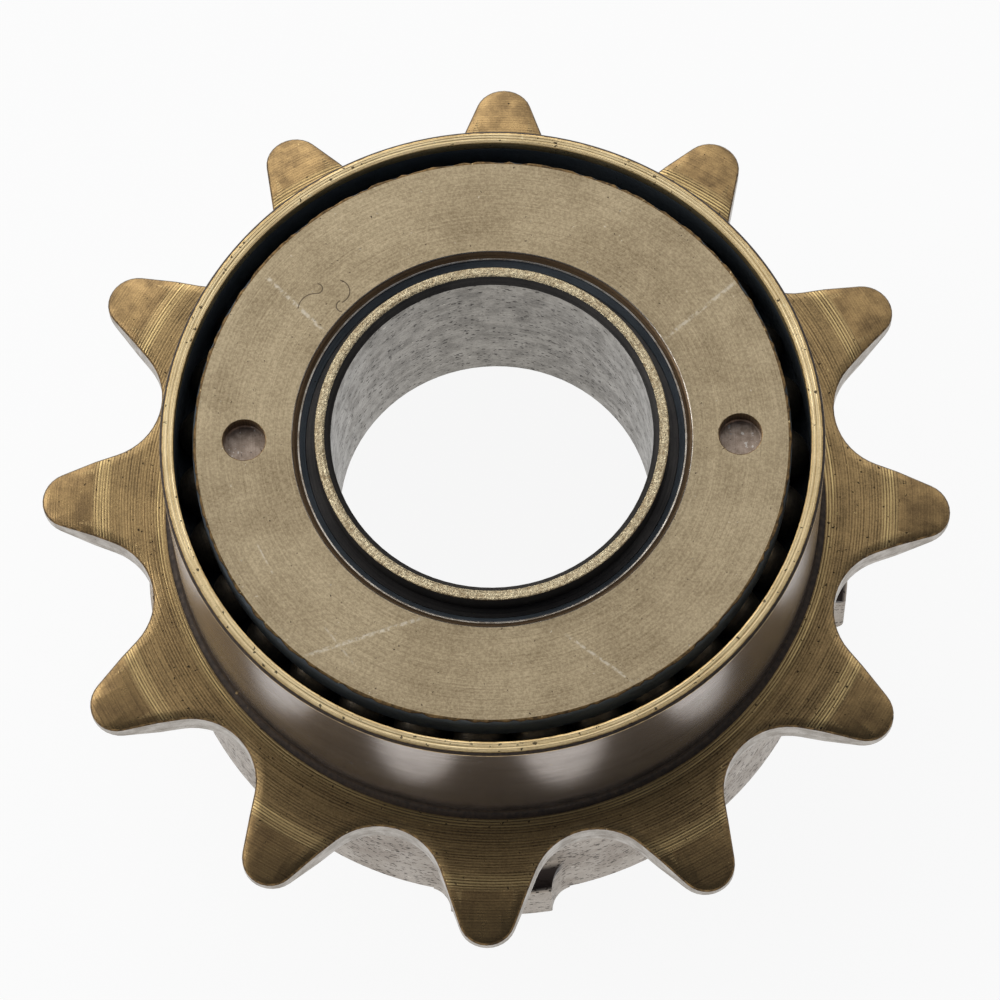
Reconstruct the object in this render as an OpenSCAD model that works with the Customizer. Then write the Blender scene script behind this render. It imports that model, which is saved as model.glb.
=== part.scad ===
// Single speed freewheel: a toothed outer ring that runs on two rows of balls round a fixed inner body.
// The Z axis is the axle line, Z = 0 is the face that stands against the hub, and the cover faces +Z.

/* [Chain teeth] */
// Pitch of the chain
chain_pitch = 12.7; // [9.525:0.005:12.8]
// Number of chain teeth
chain_teeth = 12; // [12:1:20]
// Radius of the seat that a chain roller beds into
seat_r = 3.82; // [3.4:0.01:4.1]
// Height of a tooth crest above the pitch circle
crest_rise = 2.2; // [1.6:0.05:3]
// Radius of the rounded crest of a tooth
crest_r = 1.68; // [1.2:0.02:1.9]
// Thickness of the toothed plate
plate_t = 2.1; // [1.6:0.1:3.2]
// How far the bevel on each face reaches in from the crest
bevel_reach = 3; // [1:0.1:4]
// Thickness left at the crest between the two bevels
crest_t = 0.9; // [0.6:0.1:1.6]
// Turn of the toothed ring at rest, from the X axis to a tooth
teeth_turn = -1.5; // [-15:0.5:15]

/* [Outer ring] */
// Thickness of the drum outside the ball races
drum_wall = 0.8; // [0.7:0.05:1.3]
// Height of the drum above the plate
drum_h = 11; // [10.6:0.1:13]
// Chamfer round the top of the drum
drum_chamfer = 0.17; // [0.05:0.01:0.3]
// Fillet between the drum and the plate
drum_fillet = 0.4; // [0.2:0.05:0.6]

/* [Ratchet] */
// Number of ratchet teeth inside the ring
ratchet_teeth = 24; // [24:12:36]
// Distance of the ratchet crests inside the circle of ball centres
ratchet_inset = 1.2; // [1:0.05:1.35]
// Depth of a ratchet tooth
ratchet_depth = 1.15; // [0.9:0.05:1.15]
// Part of the tooth pitch that the flat crest takes
crest_part = 0.16; // [0.1:0.01:0.25]
// Part of the tooth pitch that the flat valley takes
valley_part = 0.27; // [0.1:0.01:0.4]

/* [Ball races] */
// Radius of a ball
ball_r = 1.5875; // [1.5:0.0125:1.6]
// Radius of the circle of ball centres
ball_track_r = 16.6; // [16.55:0.05:16.7]
// Number of balls in each row
ball_count = 31; // [20:1:31]
// Play between a ball and its race
race_play = 0.015; // [0.01:0.005:0.03]
// Height of the lower balls above the underside of the ring
lower_ball_rise = 1.9; // [1.9:0.05:2.1]
// Depth of the upper balls below the rim
upper_ball_drop = 3.6; // [3.4:0.05:3.7]

/* [Inner body] */
// Height of the skirt, from the hub face to the underside of the ring
skirt_h = 12.5; // [11:0.5:16]
// How far the skirt stands out past the ball races of the ring
skirt_step = 1.55; // [1:0.05:2.2]
// Chamfer round the lower edge of the skirt
skirt_chamfer = 0.3; // [0.1:0.05:0.6]
// Play between the flange of the skirt and the underside of the ring
flange_play = 0.3; // [0.2:0.05:0.5]
// Play between the shelf of the lower race and the ring
shelf_play = 0.3; // [0.2:0.05:0.5]
// Radius of the plain bore
bore_r = 9.2; // [8:0.1:9.4]
// Height of the lower edge of the plain bore above the hub face
bore_floor = 13; // [12:0.25:14]
// Radius of the recess below the plain bore
recess_r = 13; // [11:0.1:13.2]
// Radius of the seat for the hub thread
thread_seat_r = 17; // [16:0.1:17.4]
// Depth of the seat for the hub thread
thread_seat_h = 9.3; // [7:0.1:9.5]
// Depth of the clearance groove at the end of the hub thread
relief_depth = 0.45; // [0.2:0.05:0.6]
// Height of the clearance groove at the end of the hub thread
relief_h = 1.2; // [0.8:0.1:2]
// Radius of the collar that stands inside the cover
collar_r = 10.1; // [9.9:0.05:10.2]
// Height of the collar above the rim
collar_rise = 0.9; // [0.4:0.1:1.5]
// Width of the chamfer at the mouth of the bore
mouth_chamfer = 0.42; // [0.2:0.02:0.45]
// Height of the chamfer at the mouth of the bore
mouth_chamfer_h = 0.55; // [0.2:0.05:0.8]

/* [Spanner lugs] */
// Number of lugs round the foot of the skirt
lug_count = 4; // [2:1:6]
// How far the lugs stand out from the skirt
lug_rise = 1.35; // [1:0.05:1.8]
// Height of the lugs
lug_h = 4.6; // [3:0.1:6]
// Half of the angle that the outside of a lug spans
lug_half = 8.3; // [6:0.1:12]
// Radius of the hollow above a lug
lug_hollow_r = 2.6; // [2:0.1:3]
// Radius of the hollow at each side of a lug
lug_side_r = 1.5; // [1.5:0.1:2]
// Depth to which the lugs are rooted in the skirt
lug_root = 1.2; // [0.6:0.1:1.6]

/* [Cover] */
// Width of the gap between the cover and the rim
cover_gap = 1.1; // [0.9:0.05:1.3]
// Radius of the thread that holds the cover
cover_thread_r = 10.65; // [10.5:0.05:10.8]
// Play in the thread of the cover
thread_play = 0.03; // [0.01:0.01:0.1]
// Width of the chamfer round the inside of the cover
cover_chamfer = 0.74; // [0.3:0.02:1]
// Height of the chamfer round the inside of the cover
cover_chamfer_h = 0.7; // [0.3:0.05:1]
// Depth of the cover's inner part, below the rim
cover_depth = 3.8; // [3.65:0.05:3.9]
// Radius of a pin spanner hole
pin_hole_r = 1.22; // [0.8:0.02:1.4]
// Depth of a pin spanner hole
pin_hole_depth = 0.95; // [0.5:0.05:1.1]
// Distance of a pin spanner hole inside the edge of the cover
pin_hole_inset = 2.95; // [2.5:0.05:3.5]

/* [Shims] */
// Thickness of the thin shim
thin_shim_t = 0.3; // [0.2:0.05:0.4]
// Thickness of the thick shim
thick_shim_t = 0.5; // [0.4:0.05:0.6]
// Width of barrel left free round the shims
shim_inset = 0.8; // [0.4:0.1:2]
// Play of the shims round the thread
shim_play = 0.1; // [0.05:0.05:0.2]

/* [Pawls] */
// Width of a pawl along the axle
pawl_w = 3.6; // [3:0.1:3.8]
// Play of a pawl in its pocket, at each face
pawl_side_play = 0.05; // [0.02:0.01:0.1]
// Distance of a pawl's pivot inside the ratchet crests
pivot_inset = 2.7; // [2.6:0.05:2.8]
// Radius of the round heel of a pawl
heel_r = 1.35; // [1.3:0.01:1.4]
// Play of the heel in its socket
heel_play = 0.03; // [0.01:0.01:0.08]
// Length from the pivot to the outer corner of the tip
pawl_length = 5.74; // [5.6:0.02:5.8]
// Direction from the pivot to the tip of a folded pawl
tip_turn = 170.3; // [170:0.1:170.6]
// Distance from the pivot to the corner on the back of a pawl
back_at = 3.4; // [3.2:0.1:3.6]
// Height of the corner on the back of a pawl above the pivot
back_rise = 1.42; // [1.3:0.02:1.44]
// Height of the flat tip face
tip_h = 1.6; // [1.4:0.05:1.7]
// Angle through which a pawl swings out to the ratchet
pawl_swing = 17; // [15:0.5:17]
// Room round a folded pawl in its pocket
pocket_room = 0.2; // [0.1:0.05:0.3]
// Room under a folded pawl for its spring
spring_room = 0.75; // [0.6:0.05:0.9]
// Thickness of a pawl spring
spring_t = 0.25; // [0.15:0.05:0.35]
// Width of a pawl spring
spring_w = 2.4; // [1.6:0.1:3]
// Outside radius of the bend of a pawl spring
spring_bend_r = 2.1; // [1.8:0.1:2.6]
// Play between a pawl spring and its folded pawl
spring_play = 0.02; // [0.01:0.01:0.05]
// Angle by which a ratchet tooth clears the tip of a pawl that swings out
face_play = 0.2; // [0.1:0.05:0.4]

/* [Hidden] */
$fn = 96;
// How far a cutter runs past the solid
over = 0.5;
// How deep a flat face cuts a round one that it would otherwise only touch
cross = 0.03;

// Heights, from the hub face up
plate_z = skirt_h;
plate_top = plate_z + plate_t;
rim_z = plate_top + drum_h;
collar_z = rim_z + collar_rise;
lower_ball_z = plate_z + lower_ball_rise;
upper_ball_z = rim_z - upper_ball_drop;
flange_z = skirt_h - flange_play;
cover_floor = rim_z - cover_depth;
barrel_z = cover_floor - thin_shim_t - thick_shim_t;
ratchet_mid = (lower_ball_z + upper_ball_z) / 2;

// Races, and the radii that stand off them
cup_r = ball_r + race_play;
ring_race_r = ball_track_r + cup_r;
body_race_r = ball_track_r - cup_r;
drum_r = ring_race_r + drum_wall;
skirt_r = ring_race_r + skirt_step;
shelf_r = ring_race_r - shelf_play;
lug_r = skirt_r + lug_rise;
cover_r = ring_race_r - cover_gap;
pin_hole_at = cover_r - pin_hole_inset;
shim_r = body_race_r - shim_inset;

// Chain tooth outline: a roller seat, a straight flank that touches it, and a round crest
tooth_step = 360 / chain_teeth;
pitch_r = chain_pitch / (2 * sin(tooth_step / 2));
crest_at = pitch_r + crest_rise - crest_r;
seat_centre = pitch_r * [cos(tooth_step / 2), sin(tooth_step / 2)];
crest_centre = [crest_at, 0];
span = crest_centre - seat_centre;
span_turn = atan2(span[1], span[0]);
flank_turn = span_turn + asin((seat_r + crest_r) / norm(span));
flank_normal = [-sin(flank_turn), cos(flank_turn)];
seat_touch = seat_centre - (seat_r - cross) * flank_normal;
crest_touch = crest_centre + (crest_r - cross) * flank_normal;
blank_r = pitch_r - seat_r + cross;
bevel_in = pitch_r + crest_rise - bevel_reach;
bevel_out = pitch_r + crest_rise;

// Ratchet
ratchet_step = 360 / ratchet_teeth;
ratchet_crest_r = ball_track_r - ratchet_inset;
ratchet_root_r = ratchet_crest_r + ratchet_depth;

// Pawls: the outline is the folded one, with its pivot on the Y axis and its tip towards -X
pawl_count = 2;
pivot_at = ratchet_crest_r - pivot_inset;
pivot = [0, pivot_at];
tip_outer = pivot + pawl_length * [cos(tip_turn), sin(tip_turn)];
tip_out = pivot + pawl_length * [cos(tip_turn - pawl_swing), sin(tip_turn - pawl_swing)];
tip_out_turn = atan2(tip_out[1], tip_out[0]);
tip_face_turn = tip_out_turn + pawl_swing;
tip_inner = tip_outer - tip_h * [cos(tip_face_turn), sin(tip_face_turn)];
pawl_back = pivot + [-back_at, back_rise];
// Shares of the heel's radius at which the arm and the back of a pawl run into it
arm_share = 0.9;
back_share = 0.96;
pass_sine = (pow(ratchet_crest_r, 2) - pow(pivot_at, 2) - pow(pawl_length, 2)) / (2 * pivot_at * pawl_length);
tip_pass = pivot + pawl_length * [-sqrt(1 - pass_sine * pass_sine), pass_sine];
ratchet_turn = atan2(tip_pass[1], tip_pass[0]) + face_play;
pawl_z = ratchet_mid - pawl_w / 2;
pocket_z = pawl_z - pawl_side_play;
pocket_h = pawl_w + 2 * pawl_side_play;
pocket_floor = tip_inner[1] - spring_room;
arm_root = [-1.2, pivot_at - heel_r * 0.5];
arm_turn = atan2(tip_inner[1] - arm_root[1], tip_inner[0] - arm_root[0]);
arm_middle = (tip_inner + arm_root) / 2;
spring_centre = arm_middle - (spring_bend_r + spring_play) * [sin(arm_turn), -cos(arm_turn)];

// A point at a radius and an angle
function polar(r, a) = r * [cos(a), sin(a)];

// The angle from a circle's centre, at a distance from the axis, to where it crosses a circle round the axis
function crossing(at, r, axis_r) = acos((at * at + axis_r * axis_r - r * r) / (2 * at * axis_r));

// A solid ring of rectangular section
module band(inner, outer, low, high) {
  rotate_extrude($fn = $fn)
    translate([inner, low])
      square([outer - inner, high - low]);
}

// A ring with a round section, as the balls sweep it
module ball_path(z) {
  rotate_extrude($fn = $fn)
    translate([ball_track_r, z])
      circle(r = cup_r, $fn = 48);
}

// Repeats its children evenly round the axis
module around(count) {
  for (i = [0:count - 1])
    rotate([0, 0, 360 * i / count])
      children();
}

// A point turned round the axis
function turned(p, a) = [p[0] * cos(a) - p[1] * sin(a), p[0] * sin(a) + p[1] * cos(a)];

// The plate with its roller seats and its round-crested teeth, bevelled on both faces
module toothed_plate() {
  mid = plate_z + plate_t / 2;
  outline = [
    for (i = [0:chain_teeth - 1])
      let (a = i * tooth_step)
        each [
          polar(blank_r, a - tooth_step / 2),
          turned([seat_touch[0], -seat_touch[1]], a),
          turned([crest_touch[0], -crest_touch[1]], a),
          turned(crest_touch, a),
          turned(seat_touch, a)
        ]
  ];
  intersection() {
    difference() {
      union() {
        translate([0, 0, plate_z])
          linear_extrude(height = plate_t)
            polygon(outline);
        around(chain_teeth)
          translate([crest_at, 0, plate_z])
            cylinder(r = crest_r, h = plate_t);
      }
      around(chain_teeth)
        translate([seat_centre[0], seat_centre[1], plate_z - over])
          cylinder(r = seat_r, h = plate_t + 2 * over);
    }
    rotate_extrude()
      polygon([
        [0, plate_z],
        [bevel_in, plate_z],
        [bevel_out, mid - crest_t / 2],
        [bevel_out + over, mid - crest_t / 2],
        [bevel_out + over, mid + crest_t / 2],
        [bevel_out, mid + crest_t / 2],
        [bevel_in, plate_top],
        [0, plate_top]
      ]);
  }
}

// The drum, with a fillet on the plate and a chamfer at the rim
module drum() {
  rotate_extrude()
    difference() {
      polygon([
        [0, plate_top - over],
        [drum_r + drum_fillet + over, plate_top - over],
        [drum_r, plate_top + drum_fillet],
        [drum_r, rim_z - drum_chamfer],
        [drum_r - drum_chamfer, rim_z],
        [0, rim_z]
      ]);
      translate([drum_r + drum_fillet, plate_top + drum_fillet])
        circle(r = drum_fillet - cross, $fn = 32);
    }
}

// The hollow that a row of balls runs in: flat on one side, with a round corner
module ring_race(z, open_z) {
  side = open_z > z ? 1 : -1;
  ball_path(z);
  band(ratchet_crest_r - over, ball_track_r, min(z - side * cup_r, open_z), max(z - side * cup_r, open_z));
  band(ball_track_r - over, ring_race_r, min(z, open_z), max(z, open_z));
}

// The saw-toothed hollow right through the ring
module ratchet_hollow() {
  points = [
    for (i = [0:ratchet_teeth - 1])
      let (a = ratchet_turn + i * ratchet_step)
        each [
          polar(ratchet_root_r, a),
          polar(ratchet_crest_r, a),
          polar(ratchet_crest_r, a + crest_part * ratchet_step),
          polar(ratchet_root_r, a + (1 - valley_part) * ratchet_step)
        ]
  ];
  translate([0, 0, plate_z - over])
    linear_extrude(height = rim_z - plate_z + 2 * over)
      polygon(points);
}

// The ring that the chain drives: teeth, drum, ball cups and ratchet in one piece
module outer_ring() {
  color([0.55, 0.46, 0.33])
    difference() {
      union() {
        rotate([0, 0, teeth_turn])
          toothed_plate();
        drum();
      }
      ring_race(upper_ball_z, rim_z + over);
      ring_race(lower_ball_z, plate_z - over);
      ratchet_hollow();
    }
}

// One spanner lug along +X, hollowed above and at both sides
module spanner_lug() {
  inner = skirt_r - lug_root;
  top = lug_h + lug_hollow_r;
  side_at = skirt_r + lug_side_r - cross;
  side_turn = lug_half + crossing(side_at, lug_side_r, lug_r);
  foot_turn = side_turn - crossing(side_at, lug_side_r, skirt_r) / 2;
  outer = (lug_r + over) / cos(foot_turn);
  ledge_in = skirt_r + lug_hollow_r - cross;
  ledge_z = lug_h + sqrt(lug_hollow_r * lug_hollow_r - pow(ledge_in - lug_r, 2));
  difference() {
    intersection() {
      linear_extrude(height = top)
        polygon([
          polar(inner, -foot_turn),
          polar(outer, -foot_turn),
          polar(outer, foot_turn),
          polar(inner, foot_turn)
        ]);
      rotate_extrude()
        difference() {
          polygon([
            [inner - over, 0],
            [lug_r - skirt_chamfer, 0],
            [lug_r, skirt_chamfer],
            [lug_r, ledge_z],
            [inner - over, ledge_z]
          ]);
          translate([ledge_in, ledge_z])
            circle(r = lug_hollow_r, $fn = 64);
        }
    }
    for (side = [-1, 1])
      rotate([0, 0, side * side_turn])
        translate([side_at, 0, -over])
          cylinder(r = lug_side_r, h = top + 2 * over);
  }
}

// The outside of the inner body: skirt, flange, ball race, barrel, thread and collar
module body_outside() {
  rotate_extrude()
    difference() {
      polygon([
        [0, 0],
        [skirt_r - skirt_chamfer, 0],
        [skirt_r, skirt_chamfer],
        [skirt_r, flange_z],
        [shelf_r, flange_z],
        [shelf_r, lower_ball_z - cup_r],
        [ball_track_r, lower_ball_z - cup_r],
        [ball_track_r, lower_ball_z],
        [body_race_r, lower_ball_z],
        [body_race_r, barrel_z],
        [cover_thread_r, barrel_z],
        [cover_thread_r, rim_z - cover_chamfer_h],
        [collar_r, rim_z - cover_chamfer_h],
        [collar_r, collar_z],
        [0, collar_z]
      ]);
      translate([ball_track_r, lower_ball_z])
        circle(r = cup_r, $fn = 48);
    }
}

// The hollow of the inner body: thread seat, recess, bore and its chamfered mouth
module body_hollow() {
  groove_z = thread_seat_h - relief_h;
  rotate_extrude()
    polygon([
      [0, -over],
      [thread_seat_r + skirt_chamfer + over, -over],
      [thread_seat_r, skirt_chamfer],
      [thread_seat_r, groove_z],
      [thread_seat_r + relief_depth, groove_z],
      [thread_seat_r + relief_depth, thread_seat_h],
      [recess_r, thread_seat_h],
      [recess_r, bore_floor],
      [bore_r, bore_floor],
      [bore_r, collar_z - mouth_chamfer_h],
      [bore_r + mouth_chamfer, collar_z],
      [bore_r + mouth_chamfer, collar_z + over],
      [0, collar_z + over]
    ]);
}

// The pocket of one pawl: a round socket for the heel, and a hollow for the arm and its spring
module pawl_pocket() {
  translate([pivot[0], pivot[1], pocket_z])
    cylinder(r = heel_r + heel_play, h = pocket_h, $fn = 64);
  translate([0, 0, pocket_z])
    linear_extrude(height = pocket_h)
      polygon([
        [0, pivot_at + heel_r * arm_share],
        [0, pivot_at - heel_r * arm_share],
        [-heel_r, pocket_floor],
        [tip_inner[0] - pocket_room, pocket_floor],
        [tip_inner[0] - pocket_room, tip_inner[1] - pocket_room],
        tip_outer - [pocket_room, 0],
        [tip_outer[0] - pocket_room, body_race_r + over],
        [0, body_race_r + over]
      ]);
}

// The fixed inner body, which screws on to the hub
module inner_body() {
  color([0.5, 0.48, 0.45])
    difference() {
      union() {
        body_outside();
        around(lug_count)
          spanner_lug();
      }
      body_hollow();
      around(pawl_count)
        pawl_pocket();
    }
}

// The screwed cover, which closes the upper ball race, with its two pin spanner holes
module cover() {
  inner = cover_thread_r + thread_play;
  color([0.62, 0.56, 0.44])
    difference() {
      rotate_extrude()
        difference() {
          polygon([
            [inner, cover_floor],
            [body_race_r, cover_floor],
            [body_race_r, upper_ball_z],
            [ball_track_r, upper_ball_z],
            [ball_track_r, upper_ball_z + cup_r],
            [cover_r, upper_ball_z + cup_r],
            [cover_r, rim_z],
            [inner + cover_chamfer, rim_z],
            [inner, rim_z - cover_chamfer_h]
          ]);
          translate([ball_track_r, upper_ball_z])
            circle(r = cup_r, $fn = 48);
        }
      around(2)
        translate([pin_hole_at, 0, rim_z - pin_hole_depth])
          cylinder(r = pin_hole_r, h = pin_hole_depth + over, $fn = 48);
    }
}

// A flat washer on the top of the barrel
module shim(low, thickness) {
  color([0.72, 0.7, 0.66])
    band(cover_thread_r + shim_play, shim_r, low, low + thickness);
}

// One row of loose balls
module ball_row(z) {
  color([0.8, 0.8, 0.82])
    around(ball_count)
      translate([ball_track_r, 0, z])
        sphere(r = ball_r, $fn = 32);
}

// One pawl, folded into its pocket
module pawl() {
  color([0.42, 0.42, 0.44])
    translate([0, 0, pawl_z])
      union() {
        translate([pivot[0], pivot[1], 0])
          cylinder(r = heel_r, h = pawl_w, $fn = 64);
        linear_extrude(height = pawl_w)
          polygon([
            [0, pivot_at + heel_r * back_share],
            pawl_back,
            tip_outer,
            tip_inner,
            arm_root,
            [0, pivot_at - heel_r * arm_share]
          ]);
      }
}

// One leaf spring, arched between the floor of the pocket and the underside of the folded pawl
module pawl_spring() {
  long = 2 * spring_bend_r;
  color([0.75, 0.75, 0.78])
    translate([0, 0, ratchet_mid - spring_w / 2])
      intersection() {
        translate([spring_centre[0], spring_centre[1], 0])
          difference() {
            cylinder(r = spring_bend_r, h = spring_w);
            translate([0, 0, -over])
              cylinder(r = spring_bend_r - spring_t, h = spring_w + 2 * over);
          }
        translate([spring_centre[0] - long / 2, pocket_floor, 0])
          cube([long, long, spring_w]);
      }
}

inner_body();
outer_ring();
cover();
shim(barrel_z, thin_shim_t);  // thin_shim
shim(barrel_z + thin_shim_t, thick_shim_t);  // thick_shim
ball_row(upper_ball_z);  // upper_balls
ball_row(lower_ball_z);  // lower_balls
pawl();  // pawl_left
rotate([0, 0, 180]) pawl();  // pawl_right
pawl_spring();  // pawl_spring_left
rotate([0, 0, 180]) pawl_spring();  // pawl_spring_right
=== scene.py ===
"""Looks of a single speed freewheel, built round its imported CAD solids.

The toothed ring, the screwed cover and the inner body are modelled again with rounded
edges and tool marks. The parts that lie inside keep their CAD solids and get a finish.
All sizes are in millimetres, and the meshes are in metres, in the frame of the solids.
"""

from __future__ import annotations

import logging
import math
from dataclasses import dataclass, field
from enum import Enum, IntEnum
from random import Random
from typing import Callable, Iterable, Optional, Sequence, Union

import bmesh
import bpy
from bmesh.types import BMEdge, BMesh, BMFace, BMVert
from mathutils import Matrix, Vector


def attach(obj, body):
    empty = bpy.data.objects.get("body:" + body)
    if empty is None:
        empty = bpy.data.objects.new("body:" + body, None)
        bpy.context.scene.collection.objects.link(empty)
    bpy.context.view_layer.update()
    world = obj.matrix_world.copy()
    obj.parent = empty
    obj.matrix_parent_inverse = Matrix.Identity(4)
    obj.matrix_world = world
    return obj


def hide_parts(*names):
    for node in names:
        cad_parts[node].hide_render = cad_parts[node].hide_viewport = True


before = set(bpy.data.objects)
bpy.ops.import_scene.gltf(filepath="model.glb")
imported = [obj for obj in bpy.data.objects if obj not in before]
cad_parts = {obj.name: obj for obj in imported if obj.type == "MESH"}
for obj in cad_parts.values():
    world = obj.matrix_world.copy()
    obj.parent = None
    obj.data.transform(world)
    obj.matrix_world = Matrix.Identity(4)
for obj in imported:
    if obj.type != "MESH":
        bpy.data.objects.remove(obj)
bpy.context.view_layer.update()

MM = 0.001
AXLE = Vector((0.0, 0.0, 1.0))
LOG = logging.getLogger("freewheel")

Colour = tuple[float, float, float]
Value = Union[float, bpy.types.NodeSocket]
Point = tuple[float, float]
Place = tuple[float, float, float]
Ring = tuple[float, float, int]

PIT_SHOW = 0.85
PIT_ROUGH = 0.25
PIT_DEPTH = 0.01
GLINT_SHOW = 0.6
SCORE_DEPTH = 0.004
SHARP_ANGLE = math.radians(24.0)


def srgb(red: int, green: int, blue: int) -> Colour:
    """Turns an 8-bit display colour into the linear one that a shader takes.

    Args:
        red: Red, 0 to 255.
        green: Green, 0 to 255.
        blue: Blue, 0 to 255.

    Returns:
        The linear colour.
    """
    return tuple(
        c / 12.92 if c <= 0.04045 else ((c + 0.055) / 1.055) ** 2.4
        for c in (red / 255.0, green / 255.0, blue / 255.0)
    )


class Lay(Enum):
    """How the tool marks run on a turned surface."""

    FACE = "rings at one radius"
    WALL = "rings at one height"


class Graph:
    """Adds shader nodes to a node tree and links them with short calls."""

    def __init__(self, tree: bpy.types.NodeTree) -> None:
        """Empties the tree.

        Args:
            tree: The node tree of a material or of the world.
        """
        self.tree = tree
        tree.nodes.clear()

    def node(self, kind: str, inputs: dict, **settings: object) -> bpy.types.Node:
        """Adds a node.

        Args:
            kind: The node's type name.
            inputs: A value or a socket for each named or numbered input.
            settings: Properties of the node.

        Returns:
            The new node.
        """
        made = self.tree.nodes.new(kind)
        for key, setting in settings.items():
            setattr(made, key, setting)
        for key, value in inputs.items():
            self.feed(made.inputs[key], value)
        return made

    def feed(self, socket: bpy.types.NodeSocket, value: object) -> None:
        """Sets an input or links it.

        Args:
            socket: The input.
            value: A number, a vector, a colour or an output socket.
        """
        if isinstance(value, bpy.types.NodeSocket):
            self.tree.links.new(value, socket)
        elif socket.type == "RGBA":
            socket.default_value = (*value[:3], 1.0)
        else:
            socket.default_value = value

    def math(self, operation: str, a: Value, b: Value = 0.0, c: Value = 0.0) -> bpy.types.NodeSocket:
        """Adds a Math node and returns its output."""
        return self.node("ShaderNodeMath", {0: a, 1: b, 2: c}, operation=operation).outputs[0]

    def times(self, a: Value, b: Value, more: Value = 0.0) -> bpy.types.NodeSocket:
        """Adds a node that gives a times b plus more and returns its output."""
        return self.math("MULTIPLY_ADD", a, b, more)

    def mix(self, share: Value, a: object, b: object) -> bpy.types.NodeSocket:
        """Mixes two colours.

        Args:
            share: The share of the second colour, 0 to 1.
            a: The first colour.
            b: The second colour.

        Returns:
            The colour socket.
        """
        made = self.node("ShaderNodeMix", {}, data_type="RGBA")
        for index, value in ((0, share), (6, a), (7, b)):
            self.feed(made.inputs[index], value)
        return made.outputs[2]

    def ramp(self, value: Value, low: float, high: float, top: float = 1.0) -> bpy.types.NodeSocket:
        """Maps a value from low..high to 0..top with soft ends.

        Args:
            value: The value.
            low: The value that gives 0.
            high: The value that gives top.
            top: The highest result.

        Returns:
            The mapped value.
        """
        made = self.node(
            "ShaderNodeMapRange", {0: value, 1: low, 2: high, 3: 0.0, 4: top}, interpolation_type="SMOOTHSTEP"
        )
        return made.outputs[0]

    def join(self, x: Value, y: Value, z: Value) -> bpy.types.NodeSocket:
        """Joins three numbers into a vector and returns its socket."""
        return self.node("ShaderNodeCombineXYZ", {0: x, 1: y, 2: z}).outputs[0]

    def noise(self, place: Value, size: float, detail: float = 2.0, rough: float = 0.5) -> bpy.types.NodeSocket:
        """Adds a noise.

        Args:
            place: The coordinates, in mm.
            size: The size of a patch, in mm.
            detail: The number of finer layers.
            rough: The share of the finer layers.

        Returns:
            The noise, about 0.5 on average.
        """
        made = self.node(
            "ShaderNodeTexNoise", {"Vector": place, "Scale": 1.0 / size, "Detail": detail, "Roughness": rough}
        )
        return made.outputs[0]

    def cells(self, place: Value, size: float) -> bpy.types.Node:
        """Adds a Voronoi node whose cells have the given size in mm and returns it."""
        return self.node("ShaderNodeTexVoronoi", {"Vector": place, "Scale": 1.0 / size, "Randomness": 1.0})


@dataclass(frozen=True)
class Scratch:
    """A straight scratch on a flat face, from one end to the other."""

    start: Point
    end: Point
    width: float = 0.05
    show: float = 0.5

    def mask(self, graph: Graph, x: Value, y: Value) -> bpy.types.NodeSocket:
        """Draws the scratch.

        Args:
            graph: The material's graph.
            x: The X coordinate in mm.
            y: The Y coordinate in mm.

        Returns:
            A mask that is at most show.
        """
        run = Vector(self.end) - Vector(self.start)
        length = run.length
        run.normalize()
        middle = (Vector(self.start) + Vector(self.end)) / 2.0
        dx = graph.math("SUBTRACT", x, middle.x)
        dy = graph.math("SUBTRACT", y, middle.y)
        along = graph.times(dy, run.y, graph.times(dx, run.x))
        across = graph.times(dy, run.x, graph.times(dx, -run.y))
        reach = graph.ramp(graph.math("ABSOLUTE", along), length * 0.5, length * 0.35)
        near = graph.ramp(graph.math("ABSOLUTE", across), self.width, self.width * 0.2, self.show)
        return graph.times(near, reach)


@dataclass(frozen=True)
class Curl:
    """An arc of a fine fibre that lies on a flat face."""

    centre: Point
    radius: float
    toward: float
    half: float
    width: float = 0.045
    show: float = 0.8

    def mask(self, graph: Graph, x: Value, y: Value) -> bpy.types.NodeSocket:
        """Draws the arc.

        Args:
            graph: The material's graph.
            x: The X coordinate in mm.
            y: The Y coordinate in mm.

        Returns:
            A mask that is at most show.
        """
        dx = graph.math("SUBTRACT", x, self.centre[0])
        dy = graph.math("SUBTRACT", y, self.centre[1])
        far = graph.math("SQRT", graph.times(dx, dx, graph.times(dy, dy)))
        off = graph.math("ABSOLUTE", graph.math("SUBTRACT", far, self.radius))
        near = graph.ramp(off, self.width, self.width * 0.3, self.show)
        aim = math.radians(self.toward)
        ahead = graph.times(dy, math.sin(aim), graph.times(dx, math.cos(aim)))
        edge = self.radius * math.cos(math.radians(self.half))
        return graph.times(near, graph.math("GREATER_THAN", ahead, edge))


@dataclass(frozen=True)
class PaintedShadeBand:
    """Painted shade: a dark band with soft edges, in a band of heights outside a radius."""

    colour: Colour
    radius: float
    low: float
    high: float
    fade: float = 0.5

    def mask(self, graph: Graph, radius: Value, z: Value, patch: Value) -> bpy.types.NodeSocket:
        """Draws the painted shade.

        Args:
            graph: The material's graph.
            radius: The distance from the axis in mm.
            z: The height in mm.
            patch: A noise that frays the shade's edge.

        Returns:
            The mask, 0 to 1.
        """
        frayed = graph.times(patch, self.fade, z)
        below = graph.ramp(frayed, self.high + self.fade, self.high - self.fade)
        above = graph.ramp(z, self.low, self.low + self.fade * 0.3)
        outside = graph.ramp(radius, self.radius, self.radius + 0.3)
        return graph.times(graph.times(below, above), outside)


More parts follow.
